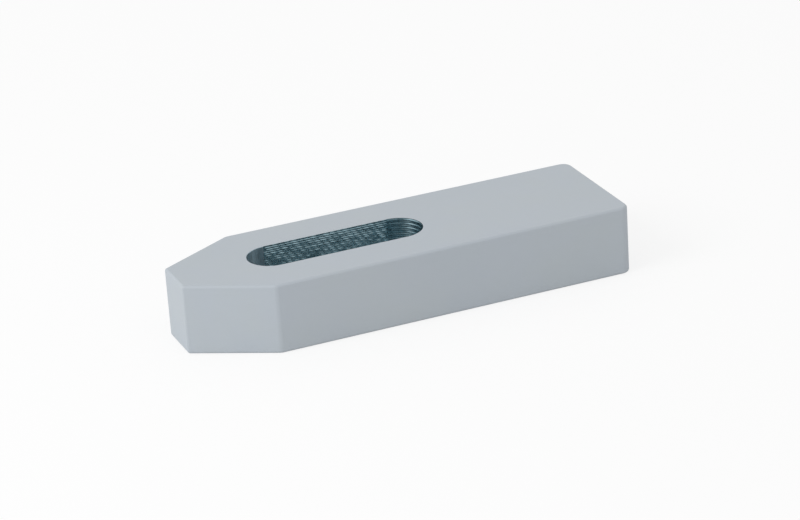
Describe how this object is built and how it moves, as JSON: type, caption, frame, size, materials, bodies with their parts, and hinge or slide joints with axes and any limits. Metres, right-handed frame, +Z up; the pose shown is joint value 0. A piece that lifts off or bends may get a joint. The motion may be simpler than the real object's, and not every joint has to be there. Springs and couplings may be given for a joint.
{
  "type": "plain strap clamp",
  "caption": "Flat steel clamping strap with a tapered nose, a square heel, rounded edges and corners and a long through-slot with a ribbed wall for the clamping stud.",
  "frame": {"origin": "middle of the clamp's outline, on its underside", "axes": "+Z up out of the top face; -Y toward the tapered nose and +Y toward the heel; X across the width"},
  "size_m": [0.05, 0.16, 0.025],
  "materials": {
    "paint": "satin"
  },
  "bodies": {
    "root": {"clamp": "paint"}
  },
  "joints": []
}
